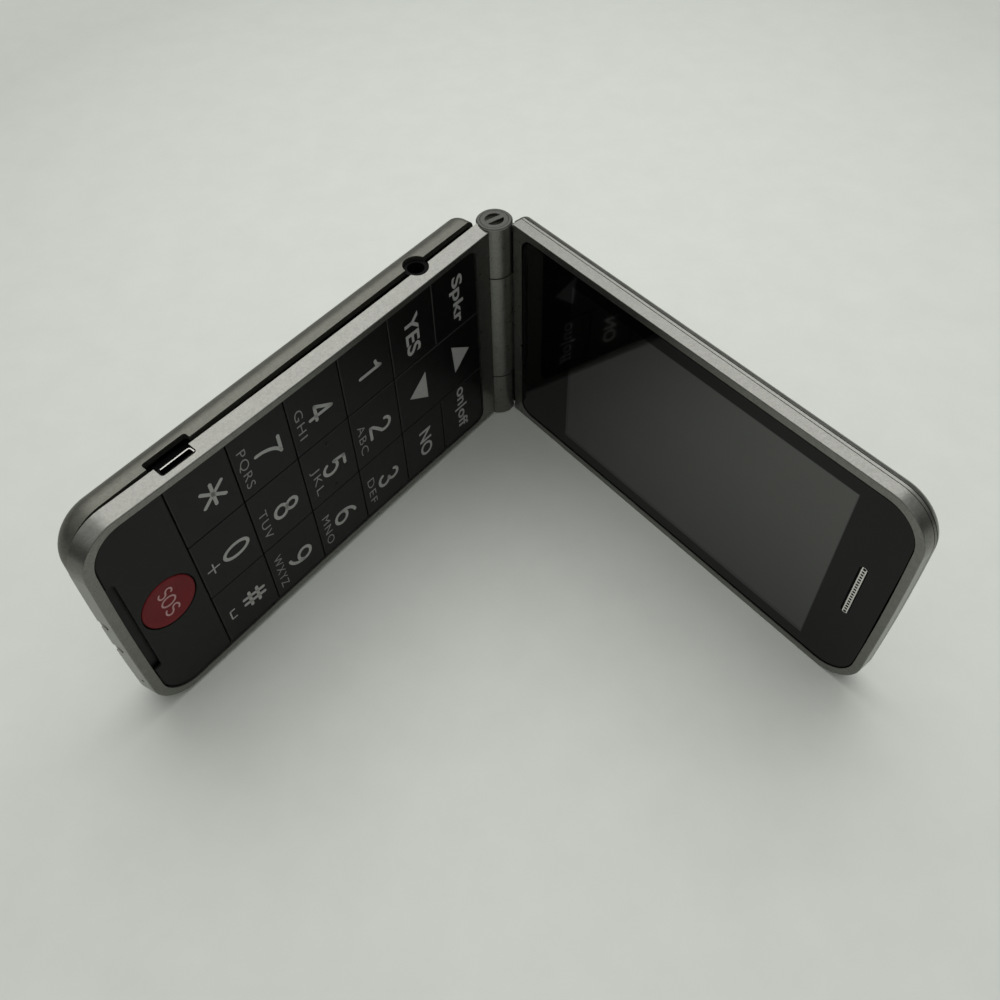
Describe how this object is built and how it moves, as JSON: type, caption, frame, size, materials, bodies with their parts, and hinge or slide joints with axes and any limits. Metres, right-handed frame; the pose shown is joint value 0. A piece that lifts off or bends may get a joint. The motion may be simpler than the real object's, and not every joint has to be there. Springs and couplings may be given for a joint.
{
  "type": "flip phone",
  "caption": "Flip phone, half open: a keypad half and a display half on one long hinge, with pressing keys, a nav rocker, sockets in the side and the real inner pieces",
  "frame": {"origin": "on the hinge axis, in the plane of the long edges that the half-open phone stands on", "axes": "+Z is the hinge axis, across the phone's width. -Y points between the two open halves. The keypad half opens towards -X and the display half towards +X, at equal angles to -Y."},
  "size_m": [0.1466, 0.0887, 0.055],
  "materials": {
    "painted_housing": "grey metallic paint on a moulded housing, fine sparkle",
    "black_plastic": "black moulded plastic",
    "key_plastic": "black key cap with a light printed legend",
    "red_plastic": "dark red see-through plastic",
    "silicone": "milky silicone",
    "spring_steel": "thin formed steel",
    "board": "laminate with solder mask",
    "battery_can": "can in a dark wrapper",
    "socket_steel": "plated sheet",
    "hinge_steel": "turned steel",
    "bush_plastic": "low friction plastic",
    "screen_glass": "clear window with a black printed border",
    "display": "dark display, switched off",
    "grille_steel": "etched strip",
    "clear_plastic": "clear lens",
    "magnet": "plated magnet",
    "cable_film": "amber film"
  },
  "bodies": {
    "base": {"front_housing": "painted_housing", "rear_housing": "black_plastic", "back_cover": "painted_housing", "lower_panel": "black_plastic", "keypad_mat": "silicone", "dome_sheet": "spring_steel", "main_board": "board", "shield_can": "spring_steel", "battery": "battery_can", "battery_contacts": "black_plastic", "sim_holder": "spring_steel", "usb_port": "socket_steel", "headset_jack": "black_plastic", "loudspeaker": "black_plastic", "vibration_motor": "spring_steel", "microphone": "spring_steel", "housing_screws": "hinge_steel", "hinge_cap_upper": "painted_housing", "hinge_cap_lower": "painted_housing", "hinge_cartridge": "hinge_steel", "hinge_bush": "bush_plastic"},
    "lid": {"lid_frame": "painted_housing", "lid_back_cover": "painted_housing", "screen_glass": "screen_glass", "display_module": "display", "earpiece_grille": "grille_steel", "earpiece_speaker": "black_plastic", "lid_board": "board", "outer_window": "screen_glass", "outer_display": "display", "camera_window": "screen_glass", "camera_module": "black_plastic", "flash_led": "clear_plastic", "lid_magnet": "magnet", "lid_screws": "hinge_steel", "hinge_cam": "hinge_steel", "flex_cable": "cable_film"},
    "key_speaker_body": {"key_speaker": "key_plastic"},
    "key_power_body": {"key_power": "key_plastic"},
    "key_yes_body": {"key_yes": "key_plastic"},
    "key_no_body": {"key_no": "key_plastic"},
    "key_1_body": {"key_1": "key_plastic"},
    "key_2_body": {"key_2": "key_plastic"},
    "key_3_body": {"key_3": "key_plastic"},
    "key_4_body": {"key_4": "key_plastic"},
    "key_5_body": {"key_5": "key_plastic"},
    "key_6_body": {"key_6": "key_plastic"},
    "key_7_body": {"key_7": "key_plastic"},
    "key_8_body": {"key_8": "key_plastic"},
    "key_9_body": {"key_9": "key_plastic"},
    "key_star_body": {"key_star": "key_plastic"},
    "key_0_body": {"key_0": "key_plastic"},
    "key_hash_body": {"key_hash": "key_plastic"},
    "red_button_body": {"red_button": "red_plastic"},
    "nav_key_body": {"nav_key": "key_plastic"},
    "volume_rocker_body": {"volume_rocker": "painted_housing"}
  },
  "joints": [
    {"name": "lid_hinge", "type": "hinge", "parent": "base", "child": "lid", "pos_m": [0, 0, 0.0275], "axis": [0, 0, 1], "range_deg": [-78.6, 81.4]},
    {"name": "key_speaker_press", "type": "slide", "parent": "base", "child": "key_speaker_body", "axis": [-0.7738, 0.6334, 0], "range_m": [0, 0.0003], "stiffness_N_per_m": 5000},
    {"name": "key_power_press", "type": "slide", "parent": "base", "child": "key_power_body", "axis": [-0.7738, 0.6334, 0], "range_m": [0, 0.0003], "stiffness_N_per_m": 5000},
    {"name": "key_yes_press", "type": "slide", "parent": "base", "child": "key_yes_body", "axis": [-0.7738, 0.6334, 0], "range_m": [0, 0.0003], "stiffness_N_per_m": 5000},
    {"name": "key_no_press", "type": "slide", "parent": "base", "child": "key_no_body", "axis": [-0.7738, 0.6334, 0], "range_m": [0, 0.0003], "stiffness_N_per_m": 5000},
    {"name": "key_1_press", "type": "slide", "parent": "base", "child": "key_1_body", "axis": [-0.7738, 0.6334, 0], "range_m": [0, 0.0003], "stiffness_N_per_m": 5000},
    {"name": "key_2_press", "type": "slide", "parent": "base", "child": "key_2_body", "axis": [-0.7738, 0.6334, 0], "range_m": [0, 0.0003], "stiffness_N_per_m": 5000},
    {"name": "key_3_press", "type": "slide", "parent": "base", "child": "key_3_body", "axis": [-0.7738, 0.6334, 0], "range_m": [0, 0.0003], "stiffness_N_per_m": 5000},
    {"name": "key_4_press", "type": "slide", "parent": "base", "child": "key_4_body", "axis": [-0.7738, 0.6334, 0], "range_m": [0, 0.0003], "stiffness_N_per_m": 5000},
    {"name": "key_5_press", "type": "slide", "parent": "base", "child": "key_5_body", "axis": [-0.7738, 0.6334, 0], "range_m": [0, 0.0003], "stiffness_N_per_m": 5000},
    {"name": "key_6_press", "type": "slide", "parent": "base", "child": "key_6_body", "axis": [-0.7738, 0.6334, 0], "range_m": [0, 0.0003], "stiffness_N_per_m": 5000},
    {"name": "key_7_press", "type": "slide", "parent": "base", "child": "key_7_body", "axis": [-0.7738, 0.6334, 0], "range_m": [0, 0.0003], "stiffness_N_per_m": 5000},
    {"name": "key_8_press", "type": "slide", "parent": "base", "child": "key_8_body", "axis": [-0.7738, 0.6334, 0], "range_m": [0, 0.0003], "stiffness_N_per_m": 5000},
    {"name": "key_9_press", "type": "slide", "parent": "base", "child": "key_9_body", "axis": [-0.7738, 0.6334, 0], "range_m": [0, 0.0003], "stiffness_N_per_m": 5000},
    {"name": "key_star_press", "type": "slide", "parent": "base", "child": "key_star_body", "axis": [-0.7738, 0.6334, 0], "range_m": [0, 0.0003], "stiffness_N_per_m": 5000},
    {"name": "key_0_press", "type": "slide", "parent": "base", "child": "key_0_body", "axis": [-0.7738, 0.6334, 0], "range_m": [0, 0.0003], "stiffness_N_per_m": 5000},
    {"name": "key_hash_press", "type": "slide", "parent": "base", "child": "key_hash_body", "axis": [-0.7738, 0.6334, 0], "range_m": [0, 0.0003], "stiffness_N_per_m": 5000},
    {"name": "red_button_press", "type": "slide", "parent": "base", "child": "red_button_body", "axis": [-0.7738, 0.6334, 0], "range_m": [0, 0.0003], "stiffness_N_per_m": 5000},
    {"name": "nav_key_rock", "type": "hinge", "parent": "base", "child": "nav_key_body", "pos_m": [-0.01315, -0.01694, 0.0275], "axis": [0, 0, 1], "range_deg": [-1.3, 1.3], "stiffness_Nm_per_rad": 0.6},
    {"name": "volume_rocker_rock", "type": "hinge", "parent": "base", "child": "volume_rocker_body", "pos_m": [-0.02937, -0.03541, 0.0011], "axis": [0.7738, -0.6334, 0], "range_deg": [-1.5, 1.5], "stiffness_Nm_per_rad": 0.3}
  ]
}
